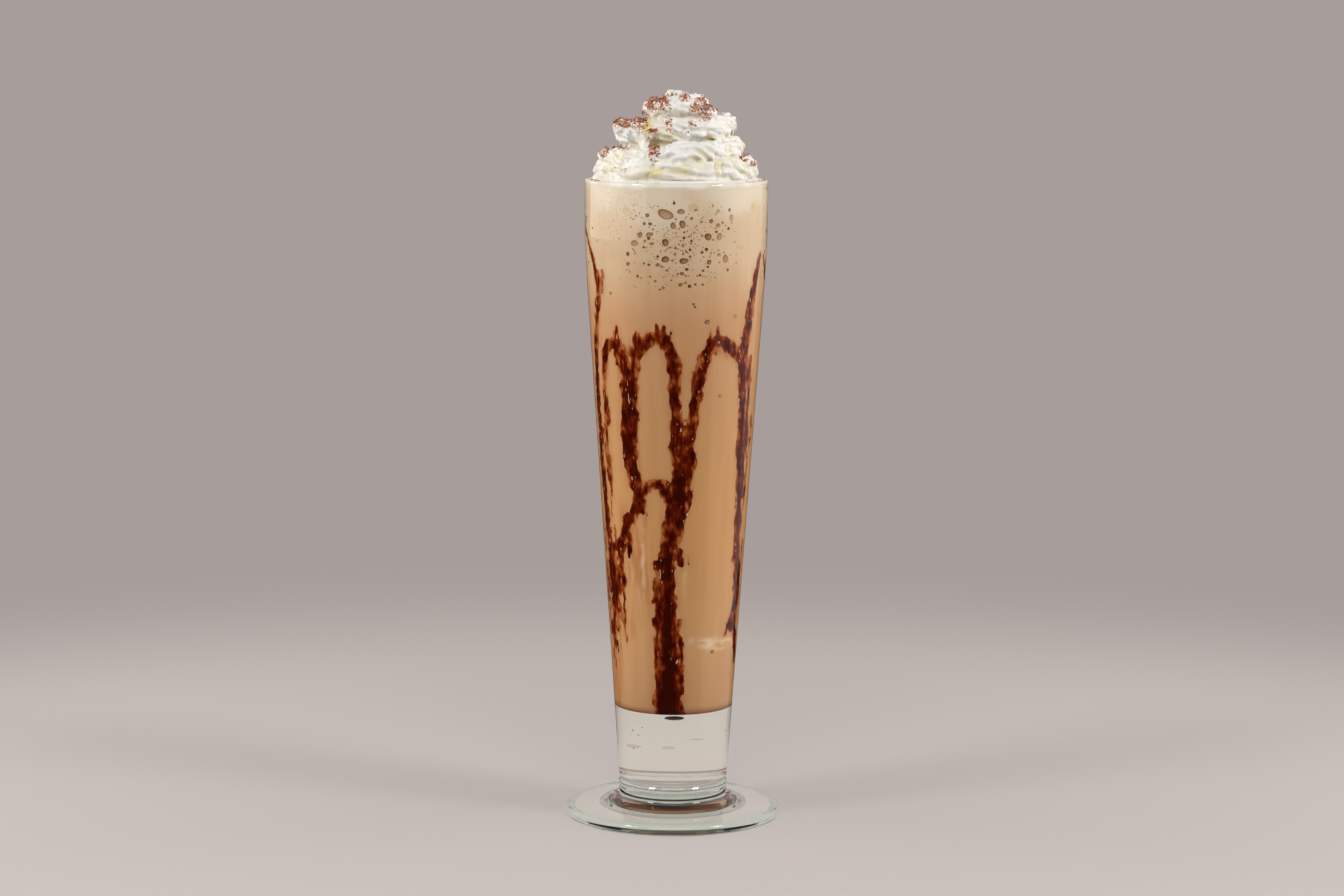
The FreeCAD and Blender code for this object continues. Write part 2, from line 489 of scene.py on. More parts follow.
front_runs = [
    # the long run down the left side, thin at the top and wide and patchy low down
    [(-87, 219, 1.5), (-75, 212, 2), (-66, 205, 2.5), (-63, 196, 3), (-68, 184, 3), (-73, 170, 3.4),
     (-75, 155, 3.8), (-75, 135, 3.8), (-72, 112, 3.8), (-68, 100, 4.6), (-67, 90, 5.6), (-67, 83, 4.6),
     (-73, 74, 2.6), (-78, 60, 1.4)],
    [(-58, 203, 1.2), (-58, 196, 2)],
    # the first arch: a thin left leg that climbs over into the left trunk
    [(-65, 130, 1.5), (-62, 148, 1.8), (-61, 163, 2.6), (-58, 173, 3.2), (-51, 176, 4), (-44, 176, 5),
     (-40, 170, 5)],
    [(-45, 183, 1.2), (-45, 176, 3)],
    # the left trunk, from its fork to where it bends towards the middle
    [(-42, 176, 4), (-39, 169, 4.5), (-36, 162, 6), (-38, 149, 5.6), (-38, 138, 5.4), (-35, 129, 5),
     (-32, 123, 4.5), (-30, 117, 3.5)],
    [(-27, 178, 3.5), (-31, 170, 4), (-34, 163, 4)],
    # the second arch, over to the middle trunk
    [(-31, 173, 3), (-25, 175, 3), (-18, 179, 4), (-12, 180, 5), (-6, 178, 4.4), (-2, 173, 4),
     (-1, 163, 3.6), (0, 155, 3.4), (1.5, 149, 3.4), (4, 143.5, 4.2)],
    [(-27, 181, 0.8), (-27, 176, 2)],
    [(-14, 185, 0.8), (-13, 180, 3)],
    [(-8, 184, 1), (-8, 179, 3)],
    [(-2, 182, 1), (-4, 177, 2.5)],
    # the third arch, from the middle trunk up and over to the right run
    [(8.5, 141, 4.4), (13, 149, 3.4), (16, 158, 3.6), (19, 168, 3.8), (25, 176, 4), (31, 179, 4.4),
     (39, 177, 3.6), (48, 173, 3.6), (56, 168, 3.4)],
    [(26, 183, 0.8), (27, 177, 2.5)],
    [(32, 184, 1), (31, 178, 3)],
    # the middle trunk, all the way to the floor of the cup
    [(5.5, 141, 5.5), (7, 136, 6.6), (6, 131, 6.4), (4, 124, 5.8), (2, 117, 6.6), (-2, 110, 6.2),
     (-5, 101, 5.4), (-8, 93, 6.2), (-9, 84, 6.6), (-7, 76, 5.4), (-5, 68, 6), (-5, 58, 7),
     (-5, 48, 8), (-5, 41, 9)],
    [(-16, 98, 1.2), (-18, 82, 1.7), (-17, 64, 1.8), (-17, 50, 1.6)],
    [(4, 76, 1.2), (8, 62, 1.8), (8, 50, 1.6), (7, 42, 1.2)],
    [(13, 129, 1.5), (12, 120, 2)],
    [(3, 104, 1.5), (7, 97, 2)],
    # the bridge between the two trunks, and the branch that falls from it to the left
    [(-31, 121, 3.4), (-26, 124, 3.2), (-20, 126, 3.4), (-14, 127, 3.6), (-9, 126, 3.6), (-4, 121, 4)],
    [(-29, 121, 3.6), (-34, 117, 3.8), (-40, 114, 3.8), (-46, 110, 3.6), (-50, 104, 3.6), (-53, 97, 2.4)],
    [(-42, 108, 2), (-42, 99, 1.6)],
    [(-50, 106, 2.6), (-60, 102, 3.2), (-67, 100, 4)],
    # the run down the right side, and its splayed end
    [(70, 208, 2.8), (68, 204, 2.8), (64, 198, 3.2), (61, 189, 3.6), (58, 178, 4.4), (57, 168, 4.6),
     (59, 155, 4.6), (60, 141, 4.4), (63, 130, 3.6)],
    [(66, 172, 2), (67, 156, 2.4), (67, 141, 3.4), (65, 128, 4), (65, 115, 4), (67, 102, 4.4),
     (72, 90, 4.6), (73, 80, 4.4), (70, 73, 4.8)],
    [(71, 78, 3), (60, 73, 2), (56, 70, 1.5)],
    [(72, 76, 3), (79, 66, 3), (83, 59, 2)],
    [(78, 208, 1.4), (86, 200, 2)],
]
back_runs = [
    [(100, 216, 2), (106, 205, 3), (104, 188, 3.4), (108, 170, 4), (112, 150, 4.4), (110, 128, 4),
     (114, 104, 4.6), (112, 80, 3.6), (116, 58, 2)],
    [(112, 168, 3.4), (118, 177, 3.6), (126, 180, 4.4), (134, 176, 4), (138, 166, 4.4), (139, 150, 5),
     (136, 134, 5.4), (140, 116, 6), (143, 96, 6.4), (141, 76, 6), (143, 58, 7), (143, 42, 8)],
    [(126, 185, 1), (126, 179, 3)],
    [(138, 168, 3.4), (146, 177, 3.4), (155, 181, 4.4), (164, 178, 4), (168, 168, 3.6), (168, 152, 3.6),
     (166, 136, 4)],
    [(155, 186, 1), (155, 180, 3)],
    [(166, 138, 4), (171, 124, 4.4), (176, 108, 5), (174, 90, 5.4), (178, 70, 4), (176, 56, 2.5)],
    [(140, 112, 3.4), (148, 119, 3.4), (157, 121, 3.6), (166, 118, 3.4), (172, 112, 3)],
    [(-172, 178, 3), (-165, 182, 4.4), (-158, 178, 3.6), (-155, 168, 3.4), (-157, 150, 3.8),
     (-153, 130, 4.4), (-157, 108, 5), (-155, 86, 4), (-158, 62, 3)],
    [(-172, 178, 3), (-176, 168, 3.2), (-176, 150, 3), (-174, 134, 2)],
    [(-120, 219, 1.6), (-116, 206, 2.6), (-118, 190, 3), (-114, 172, 3.6), (-118, 150, 4), (-114, 126, 4),
     (-118, 102, 5), (-114, 80, 4.4), (-117, 60, 3)],
    [(-117, 160, 3), (-126, 171, 3.6), (-135, 174, 4.2), (-143, 169, 3.6), (-150, 160, 3)],
]

# thin drips in groups: from one angle to another, starting from one height to another, and how many
drip_rng = np.random.default_rng(3)
drip_floor = 43.0
thin_drips = []
for low_angle, high_angle, low, high, count in (
    (-84, -50, 84, 112, 34), (-16, 2, 60, 110, 8), (58, 80, 96, 150, 12),
    (-70, -56, 128, 168, 8), (104, 150, 80, 150, 30), (160, 215, 80, 150, 30), (225, 260, 80, 140, 20),
):
    for _ in range(count):
        angle = drip_rng.uniform(low_angle, high_angle)
        start = drip_rng.uniform(low, high)
        end = max(drip_floor, start - drip_rng.uniform(8, 36))
        width = drip_rng.uniform(0.5, 1.5)
        middle = (angle + drip_rng.normal(0, 1.2), (start + end) / 2, width)
        thin_drips.append([(angle, start, width), middle, (angle, end, 0.4)])

film = poured(front_runs + back_runs + thin_drips)
fringe = on_wall(1.3, 3.6, 5) * 0.8 + on_wall(0.7, 1.6, 6) * 0.4
film = film + np.clip(fringe, -0.9, 0.8)

# thin leftovers: specks and short strokes beside the runs, which the edge noise cuts free
beside = np.clip(-film, 0, None)
near_run = np.exp(-beside / 1.2)
specks = on_wall(0.8, 3.2, 7) * 0.5 + on_wall(0.6, 1.4, 8) * 0.5
film = np.maximum(film, (specks * near_run - 0.42) * 1.6)

# what wets the wall reaches a little into it, so that no air shows between; the film stands a little
# further out, more so in its depth, and its edge dips under the face of the shake
wet = 0.15
film_lift = 0.05
film_rise = 0.06
deepest = 1.5
edge_sink = 0.03

# where the film ends inside a cell, its edge is drawn in along the slope, but never very far
gentlest_slope = 0.35
furthest_trim = 0.45


def film_mesh(film):
    """Points, faces and depths of a film: a sheet over its cells above nought, trimmed to its edge."""
    shifted = np.roll(film, -1, axis=1)
    corner_depths = np.stack([film[:-1], shifted[:-1], shifted[1:], film[1:]])
    rows, columns = np.nonzero((corner_depths > 0).any(axis=0))
    after = (columns + 1) % syrup_columns
    low, high = rows * syrup_columns, (rows + 1) * syrup_columns
    corners = np.stack([low + columns, low + after, high + after, high + columns], axis=1)
    used, faces = np.unique(corners, return_inverse=True)
    slope_up, slope_across = np.gradient(film)
    slope_up, slope_across = slope_up / syrup_step, slope_across / (radius_grid * syrup_turn)
    steep = np.maximum(np.hypot(slope_up, slope_across), gentlest_slope)
    move = np.clip(-film / steep, 0, furthest_trim)
    height = (height_grid + slope_up / steep * move).ravel()[used]
    angle = (angle_grid + slope_across / steep * move / radius_grid).ravel()[used]
    depth = film.ravel()[used]
    raised = np.where(depth > 0, film_lift + np.minimum(depth, deepest) * film_rise, -edge_sink)
    radius = wall_radius(height) + wet + raised
    points = np.stack([radius * np.sin(angle), -radius * np.cos(angle), height], axis=1)
    return points, faces.reshape(-1, 4).tolist(), depth


syrup_points, syrup_faces, syrup_depth = film_mesh(film)
syrup = new_piece("chocolate_syrup", syrup_points, syrup_faces)
give_values(syrup, "depth", syrup_depth)
thickness = syrup.modifiers.new("thickness", "SOLIDIFY")
thickness.thickness = 0.35 * MM
thickness.offset = -1
fewer_faces = syrup.modifiers.new("fewer_faces", "DECIMATE")
fewer_faces.ratio = 0.5

syrup_finish, place = new_material("syrup_finish")
streaks = place.mottle(800.0, 3.0, along=230.0)
clots = place.mottle(330.0, 2.0)
thicker = place.mottle(150.0, 1.0)
high_up = place.height().rise(150 * MM, 178 * MM)
richness = place.stored("depth") / 3.2 + (streaks - 0.5) * 1.7 + (clots - 0.5) * 1.3
richness = (richness + (thicker - 0.5) * 1.3 + 0.12 - high_up * 0.16).clamped()
syrup_colour = richness.ramp(
    (0.0, 0.63, 0.365, 0.19),
    (0.10, 0.54, 0.255, 0.10),
    (0.26, 0.46, 0.165, 0.05),
    (0.50, 0.34, 0.075, 0.015),
    (0.85, 0.20, 0.03, 0.0),
)
# painted highlights: small pale streaks that stand for light caught in tiny air pockets
glint_flecks = place.mottle(1700.0, 0.0, along=400.0).rise(0.74, 0.79)
glints = glint_flecks * place.mottle(120.0, 0.0).rise(0.5, 0.6)
syrup_colour = glints.blend(syrup_colour, colour(0.80, 0.67, 0.56))
syrup_shader = place.surface(syrup_colour, 0.45, {"Specular IOR Level": 0.0})
finish_material(syrup_finish, syrup_shader, syrup)

# ---- the milkshake ------------------------------------------------------------------------------
# Thick coffee shake, blended with ice cream, that fills the cup from its floor to the froth and
# wets the wall all the way. Opaque, pale brown, a little deeper and warmer low down, with amber
# smears where thin syrup has dragged into it.

fill_facets = 240
taper_start = 60.0
froth_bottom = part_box("froth")[0].z / MM
froth_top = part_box("froth")[1].z / MM


def filling(low, high):
    """The side of what fills the cup between two heights, a point each millimetre, into the wall."""
    rows = np.linspace(low, high, int(high - low) + 1)
    return np.stack([wall_radius(rows) + wet, rows], axis=1)


shake_floor = rounded([
    (0, cup_floor - wet, 0),
    (floor_radius + wet, cup_floor - wet, floor_corner),
    (float(wall_radius(taper_start)) + wet, taper_start, 0),
])[:-1]
shake_side = filling(shake_floor[-1][1] + 1.0, froth_bottom)
shake_outline = np.vstack([shake_floor, shake_side, [(0, froth_bottom)]])
milkshake = new_piece("coffee_shake", *turned(shake_outline, fill_facets), "milkshake")

# where thin syrup has dragged into the shake, beside the runs and low down
smear = poured([
    [(-84, 120, 7), (-80, 100, 12), (-76, 80, 13), (-74, 60, 10), (-74, 44, 6)],
    [(-44, 118, 7), (-38, 104, 9), (-36, 90, 8), (-40, 70, 4)],
    [(-26, 118, 5), (-23, 105, 5), (-24, 90, 4), (-20, 70, 3)],
    [(-57, 176, 7), (-62, 160, 5), (-63, 140, 5), (-64, 120, 5)],
    [(-46, 176, 8), (-34, 176, 8), (-14, 179, 7), (-2, 172, 6)],
    [(28, 178, 8), (45, 174, 7), (60, 165, 8), (66, 140, 8), (68, 110, 8), (74, 80, 9), (76, 60, 4)],
    [(8, 140, 9), (4, 120, 9), (-6, 96, 9), (-7, 76, 9), (-4, 56, 11), (-4, 42, 12)],
    [(-38, 168, 9), (-38, 140, 9), (-33, 122, 8)],
    [(112, 150, 12), (112, 110, 12), (114, 70, 10)],
    [(140, 150, 11), (142, 100, 13), (143, 50, 14)],
    [(172, 150, 11), (174, 100, 13), (177, 60, 9)],
    [(-156, 150, 11), (-156, 100, 13), (-156, 60, 9)],
    [(-116, 170, 9), (-116, 120, 12), (-116, 70, 12)],
])


def from_grid(values, points):
    """Values of the grid over the wall, read at points in millimetres."""
    angle = np.arctan2(points[:, 0], -points[:, 1])
    column = (angle + np.pi) / syrup_turn
    row = np.clip((points[:, 2] - first_row) / syrup_step, 0, syrup_rows - 1.001)
    left, low = np.floor(column).astype(int), np.floor(row).astype(int)
    across, up = column - left, row - low
    left, right = left % syrup_columns, (left + 1) % syrup_columns
    below = values[low, left] * (1 - across) + values[low, right] * across
    above = values[low + 1, left] * (1 - across) + values[low + 1, right] * across
    return below * (1 - up) + above * up


def points_of(piece):
    """A piece's points in millimetres."""
    flat = np.zeros(len(piece.data.vertices) * 3, np.float32)
    piece.data.vertices.foreach_get("co", flat)
    return flat.reshape(-1, 3).astype(float) / MM


# amber follows the smears and the edges of the runs, and lies in a band along the cup's floor:
# partly the last of the syrup there and partly a painted reflection of the floor's corner
stain = np.clip(smear / 3.0, 0, 1) * (0.45 + 0.9 * on_wall(1.5, 14, 11) + 0.5 * on_wall(0.8, 6, 12))
halo = np.exp(-beside / 0.8) * 0.6
stain = np.clip(np.maximum(stain, halo * (0.8 + 0.5 * on_wall(1.5, 5, 13))), 0, 1)
# painted reflection, partly real syrup: an amber band along the floor of the cup
stain = np.maximum(stain, np.clip(1.25 - (height_grid - cup_floor) / 1.4, 0, 1))
give_values(milkshake, "stain", from_grid(stain, points_of(milkshake)))

# where plain milk from the ice cream lies in streaks against the glass
milk = poured([
    [(12, 69, 2), (24, 68, 4), (38, 67.5, 5), (52, 67, 5), (70, 66, 4)],
    [(-29, 113, 1.2), (-28, 104, 2.2), (-29, 92, 1.8), (-30, 82, 1)],
    [(-41, 106, 1), (-41, 96, 1.6), (-42, 86, 1)],
    [(11, 98, 0.8), (10, 93, 1.6), (9, 86, 1)],
    [(128, 190, 4), (150, 192, 7), (176, 189, 4)],
    [(-170, 72, 3), (-160, 71, 5), (-140, 73, 3)],
])
patchy = 0.55 + 0.9 * on_wall(4, 1.5, 14) + 0.5 * on_wall(1.5, 0.9, 15)
milk = np.clip(milk / 1.6, 0, 1) * np.clip(patchy, 0, 1)
give_values(milkshake, "milk", from_grid(milk, points_of(milkshake)))

# the colour changes between these heights
shake_low = 40.0 * MM
shake_high = froth_top * MM


def drink_colour(place, stain=None):
    """The shake's colour by height, faint streaks and clouds, amber stains and a painted reflection."""
    levels = {0: place.height(), 1: shake_low, 2: shake_high, 3: 0.0, 4: 1.0}
    rising = place.node("MapRange", None, levels)
    cloud = place.mottle(70.0, 2.0)
    streak = place.mottle(260.0, 2.0, along=14.0)
    level = (rising + (cloud - 0.5) * (0.05 + rising.rise(0.75, 1.0) * 0.12)).clamped()
    plain = level.ramp(
        (0.0, 0.70, 0.525, 0.375),
        (0.12, 0.765, 0.575, 0.405),
        (0.35, 0.775, 0.57, 0.37),
        (0.60, 0.76, 0.565, 0.39),
        (0.76, 0.77, 0.58, 0.425),
        (0.82, 0.795, 0.64, 0.495),
        (0.87, 0.81, 0.69, 0.57),
        (0.93, 0.82, 0.705, 0.585),
        (1.0, 0.87, 0.80, 0.715),
    )
    darker = ((streak - 0.5) * 0.9 + 0.12).clamped() * (1 - rising.rise(0.7, 0.95) * 0.8)
    toned = darker.blend(plain, colour(0.70, 0.49, 0.31))
    if stain is None:
        return toned
    return (stain * 0.8).blend(toned, colour(0.66, 0.38, 0.20))


shake_finish, place = new_material("shake_finish")
shake_colour = drink_colour(place, place.stored("stain"))
shake_colour = (place.stored("milk") * 0.75).blend(shake_colour, colour(0.88, 0.77, 0.66))
# the shake's underside, which shows only through the foot, is darker and greyer
darker_underside = 1 - place.height().rise(41.1 * MM, 41.6 * MM)
shake_colour = (darker_underside * 0.85).blend(shake_colour, colour(0.46, 0.31, 0.25))
shake_shader = place.surface(shake_colour, 0.55, {"Specular IOR Level": 0.05})
finish_material(shake_finish, shake_shader, milkshake)

# ---- the froth ----------------------------------------------------------------------------------
# Foam that rose to the top of the shake while it was poured: paler, airy, and fading into the
# shake below it. It is the same drink, so it takes the same colour by height.

froth_side = filling(froth_bottom, froth_top)
froth_outline = np.vstack([[(0, froth_bottom)], froth_side, [(0, froth_top)]])
froth = new_piece("froth_layer", *turned(froth_outline, fill_facets), "froth")

froth_finish, place = new_material("froth_finish")
pores = place.node("TexVoronoi", {"feature": "F1"}, {"Vector": place, "Scale": 900.0})
airy = place.mottle(60.0, 1.0).rise(0.48, 0.62)
porous = (1 - pores.rise(0.12, 0.32)) * airy * place.height().rise(206 * MM, 214 * MM) * 0.45
buttery = place.mottle(150.0, 0.0).rise(0.66, 0.73) * place.height().rise(221 * MM, 227 * MM)
froth_colour = porous.blend(drink_colour(place), colour(0.60, 0.48, 0.36))
froth_colour = (buttery * 0.7).blend(froth_colour, colour(0.76, 0.67, 0.44))
froth_shader = place.surface(froth_colour, 0.6, {"Specular IOR Level": 0.05})
finish_material(froth_finish, froth_shader, froth)

# ---- the bubbles --------------------------------------------------------------------------------
# Air bubbles caught against the glass in the froth, with a few further down. Each is painted as a
# brown hollow in painted shade, deepest at its edge and on one side. Big ones are placed one by
# one, and small ones fill in.

big_bubbles = [
    # degrees from the front, height, width and height across, tilt, darkness
    (-7, 224, 5.8, 3.4, -25, 0.6), (3, 225, 2.6, 1.9, 0, 0.7), (4, 220.5, 2.3, 2.8, 0, 0.85),
    (-2, 220, 2.0, 2.3, 20, 0.75), (-19, 223.5, 1.5, 1.5, 0, 0.8), (-21, 220.5, 1.2, 1.3, 0, 0.6),
    (-17, 220.5, 1.5, 1.1, 0, 1), (-24, 216.5, 1.8, 2.1, -15, 0.8), (-18, 216.5, 1.9, 2.1, 0, 0.7),
    (-16, 217, 1.2, 1.2, 0, 0.6), (-18, 215.3, 1.3, 1.0, 0, 0.9), (-16, 213.5, 1.8, 1.1, 0, 0.8),
    (-28, 213.5, 2.6, 2.2, 0, 0.6), (-7, 214, 2.3, 2.6, 0, 1), (-7, 208, 2.9, 2.1, 5, 0.95),
    (5, 207.5, 3.1, 2.1, 0, 0.95), (7, 204.5, 1.3, 1.2, 0, 0.9), (4, 203, 1.6, 1.2, 0, 1),
    (-12, 206, 1.7, 1.2, 0, 0.9), (-12, 209, 1.0, 1.0, 0, 0.9), (-18, 206, 1.0, 0.9, 0, 0.9),
    (-33, 209.5, 1.4, 1.5, 0, 0.8), (-33, 206, 1.5, 1.3, 0, 0.9), (9, 211.5, 1.0, 1.0, 0, 1),
    (21, 216, 2.6, 2.5, 0, 0.95), (29, 216, 2.2, 2.5, -15, 0.55), (23, 221.5, 1.5, 1.5, 0, 0.9),
    (28, 220, 1.7, 1.5, 0, 0.65), (20, 211.5, 1.3, 1.3, 0, 0.9), (17, 210.5, 1.1, 1.0, 0, 0.9),
    (22, 207, 1.6, 1.8, 0, 0.95), (29, 209.5, 1.4, 1.3, 0, 0.5), (34, 208, 2.3, 2.8, 0, 0.65),
    (36, 204, 1.1, 1.1, 0, 0.8), (28, 225, 1.6, 1.4, 20, 0.4), (38, 222.5, 1.7, 2.6, 0, 0.45),
    (18, 204, 1.1, 0.8, 0, 0.9), (3, 199, 1.5, 1.3, 0, 1), (9, 198.5, 1.2, 1.3, 0, 1),
    (18, 199, 1.0, 0.8, 0, 0.8), (-49, 195, 1.1, 1.1, 0, 0.7), (12, 192, 1.0, 0.9, 0, 0.8),
    (13, 191, 1.0, 0.9, 0, 0.8), (45, 187, 1.9, 1.4, 0, 0.6), (22, 185.5, 2.0, 1.6, 0, 0.9),
    (35, 158.5, 1.8, 1.2, 0, 0.7), (41, 64, 1.8, 1.5, 0, 0.8),
]


def bubble(angle, height, wide, high, tilt, shape):
    """Points, faces and painted shade of one bubble: a closed disc, proud of the drink and uneven."""
    spokes = 18
    outwards = 0.54
    middle = 0.62 if wide > 1.4 else 0.95
    # from the middle to the edge: a share of the way out, and how much painted shade lies there
    rings = ((0.0, middle), (0.5, middle + 0.05), (0.86, 1.0), (1.0, 0.3))
    lean = math.radians(tilt)
    points, dark = [], []
    for share, darkness in rings:
        for spoke in range(spokes if share else 1):
            turn = 2 * math.pi * spoke / spokes
            edge = 1 + 0.05 * math.sin(2 * turn + shape) + 0.04 * math.sin(3 * turn + 2 * shape)
            x = share * edge * wide * outwards * math.cos(turn)
            z = share * edge * high * outwards * math.sin(turn)
            across = x * math.cos(lean) - z * math.sin(lean)
            up = x * math.sin(lean) + z * math.cos(lean)
            radius = float(wall_radius(height + up)) + wet + (film_lift if share < 1 else -edge_sink)
            around = math.radians(angle) + across / radius
            points.append((radius * math.sin(around), -radius * math.cos(around), height + up))
            # painted shade: one side of each bubble is darker than the other
            dark.append(darkness * (1 - 0.3 * share * math.cos(turn + 0.9)))
    faces = [(0, 1 + s, 1 + (s + 1) % spokes) for s in range(spokes)]
    for ring in range(len(rings) - 2):
        inner, outer = 1 + ring * spokes, 1 + (ring + 1) * spokes
        for s in range(spokes):
            after = (s + 1) % spokes
            faces.append((inner + s, outer + s, outer + after, inner + after))
    faces.append(tuple(len(points) - 1 - s for s in range(spokes)))
    return points, faces, dark


# the big ones in the froth come again on both sides of the back
bubble_rng = np.random.default_rng(11)
froth_count = 40
highest_big = 227
bubbles = list(big_bubbles)
for angle, height, wide, high, tilt, shade in big_bubbles[:froth_count]:
    for shift in (118, 236):
        across = angle * 1.2 + shift + bubble_rng.normal(0, 4)
        up = min(highest_big, height + bubble_rng.normal(0, 2))
        bubbles.append((across, up, wide, high, tilt, shade))

# small ones wherever there is room for them, thickest about the middle of the froth
froth_mm_a_degree = 0.53
froth_middle = 213.5
lowest_small = 196
highest_small = 229
for side, count in ((0, 420), (120, 320), (-120, 320)):
    for _ in range(count):
        angle = side + bubble_rng.normal(2, 20)
        height = froth_middle + bubble_rng.normal(0, 7.5)
        size = 0.4 + 0.75 * bubble_rng.random() ** 3
        shade = 0.4 + 0.6 * bubble_rng.random()
        tall = size * bubble_rng.uniform(0.8, 1.15)
        gaps = []
        for other, level, width, *_ in bubbles:
            between = math.hypot((angle - other) * froth_mm_a_degree, height - level)
            gaps.append(between - width * 0.55 - size * 0.6)
        inside = lowest_small < height < highest_small and (side or abs(angle) < 50)
        if min(gaps) > 0 and inside:
            bubbles.append((angle, height, size, tall, 0, shade))
discs, dark = [], []
for number, (angle, height, wide, high, tilt, darkness) in enumerate(bubbles):
    points, faces, shades = bubble(angle, height, wide, high, tilt, number * 1.7)
    discs.append((points, faces))
    dark += [shade * darkness for shade in shades]
froth_bubbles = new_piece("froth_bubbles", *joined(discs))
give_values(froth_bubbles, "dark", dark)

bubble_finish, place = new_material("bubble_finish")
# painted shade: from the drink's colour to a deep brown as the bubble's shade deepens
darkness = place.stored("dark")
bubble_colour = (darkness * 2).clamped().blend(drink_colour(place), colour(0.63, 0.48, 0.34))
bubble_colour = (darkness * 2 - 1).clamped().blend(bubble_colour, colour(0.33, 0.19, 0.06))
bubble_shader = place.surface(bubble_colour, 0.4, {"Specular IOR Level": 0.05})
finish_material(bubble_finish, bubble_shader, froth_bubbles)

# ---- the whipped cream --------------------------------------------------------------------------
# Stiff whipped cream. It fills the mouth of the glass and rises from it in one rope, piped through
# a star nozzle in turns that draw in to a tip, so the rope is ribbed and its turns squash together.

cream_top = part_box("whipped_cream")[1].z / MM
plug_outline = rounded([
    (0, froth_top - 0.02, 0),
    (mouth_radius + wet, froth_top - 0.02, 0),
    (mouth_radius + wet, glass_height - rim_round, 0),
    (mouth_radius - 0.3, glass_height - 0.1, 0.6),
    (mouth_radius - 2.5, glass_height + 0.6, 1.5),
    (0, glass_height + 2.0, 0),
])
cream_plug = new_piece("cream_in_mouth", *turned(plug_outline, glass_facets), "whipped_cream")

rope_radius = 5.2
tip_rope_radius = 3.7
coil_radius = mouth_radius - rope_radius - 0.75
coil_start = glass_height + 0.7
coil_end = cream_top - tip_rope_radius
rope_spread = (1.0, 1.0, 1.0, 0.97, 0.81, 0.76, 0.71, 0.32, 0.33, 0.04)
rope_climb = (0.0, 0.04, 0.11, 0.22, 0.38, 0.58, 0.68, 0.88, 0.95, 1.0)
half_turns = len(rope_spread) - 1


def eased(values, half_turn):
    """A value that passes smoothly from one half turn's value to the next."""
    low = np.minimum(half_turn.astype(int), half_turns - 1)
    part = half_turn - low
    ease = part * part * (3 - 2 * part)
    values = np.array(values)
    return values[low] * (1 - ease) + values[low + 1] * ease


def rope(path, thickness, twist, rib_depth):
    """Points and faces of a rope with seven rounded ribs, along a path, closed at both ends."""
    around = 56
    forward = np.gradient(path, axis=0)
    forward /= np.linalg.norm(forward, axis=1)[:, None]
    side = np.cross(forward, (0.0, 0.0, 1.0))
    side /= np.linalg.norm(side, axis=1)[:, None]
    top = np.cross(side, forward)
    turns = np.arange(around) * 2 * np.pi / around
    ribs = 1 - rib_depth * (1 - np.abs(np.cos(3.5 * (turns + twist[:, None]))) ** 0.7)
    reach = thickness[:, None] * ribs
    rim = side[:, None, :] * np.cos(turns)[:, None] + top[:, None, :] * np.sin(turns)[:, None]
    points = (path[:, None, :] + rim * reach[:, :, None]).reshape(-1, 3)
    faces = []
    for ring in range(len(path) - 1):
        low, high = ring * around, (ring + 1) * around
        for s in range(around):
            after = (s + 1) % around
            faces.append((low + s, low + after, high + after, high + s))
    faces.append(tuple(range(around - 1, -1, -1)))
    faces.append(tuple((len(path) - 1) * around + s for s in range(around)))
    return points, faces


# the main rope, followed by the half turns that it has made
made = np.linspace(0.0, half_turns, 1100)
turn = made * np.pi
uneven = noise(np.outer(made * 7, (1, 0, 0)), 1.0, 31)
puffs = np.sin(turn * 6.3 + 2.0 * uneven)
distance = coil_radius * eased(rope_spread, made) + 0.5 * uneven
height = coil_start + (coil_end - coil_start) * eased(rope_climb, made) + 0.35 * np.sin(turn * 4.7)
size = (rope_radius + (tip_rope_radius - rope_radius) * made / half_turns) * (1 + 0.06 * puffs)
coil = np.stack([distance * np.cos(turn), distance * np.sin(turn), height], axis=1)
twist = made * 5.2 + 0.9 * uneven
parts = [rope(coil, size, twist, 0.34)]


def curled(turn, across, back, height):
    """A path that curls round a middle: for each way a middle and a reach, and upwards a rise."""
    return np.stack(
        [
            across[0] + across[1] * np.cos(turn),
            back[0] + back[1] * np.sin(turn),
            height[0] + height[1] * turn / np.pi,
        ],
        axis=1,
    )


# where the rope was lifted and set down again: a curl on the left shoulder, a fold that hangs from
# it down the front, and the lumps of the tip
turn = np.linspace(-0.6, 1.9, 60) * np.pi
shoulder_curl = curled(turn, (-16.6, 3.7), (-8.5, 4.2), (252.6, 1.2))
parts.append(rope(shoulder_curl, np.linspace(3.6, 2.9, 60), turn * 1.5, 0.22))
fall = np.linspace(0, 1, 40)
fold = np.stack([-13 + 5.5 * fall, -12.5 - 8.0 * fall + 1.5 * fall**2, 253.5 - 12 * fall], axis=1)
parts.append(rope(fold, 3.6 - 0.5 * fall, fall * 3.0, 0.2))
turn = np.linspace(0.2, 2.2, 50) * np.pi
tip_curl = curled(turn, (-5.6, 2.2), (-2.0, 2.4), (260.2, 0.7))
right_lump = tip_curl * (-1, 1.2, 1) + (3.5, -0.8, -2.6)
back_lump = tip_curl * (0.8, -1, 1) + (6.0, -2.2, 1.6)
parts.append(rope(tip_curl, np.linspace(3.3, 2.7, 50), turn * 1.5, 0.2))
parts.append(rope(right_lump, np.linspace(3.4, 2.6, 50), turn * 1.7, 0.22))
parts.append(rope(back_lump, np.linspace(2.9, 2.2, 50), turn * 1.3, 0.2))

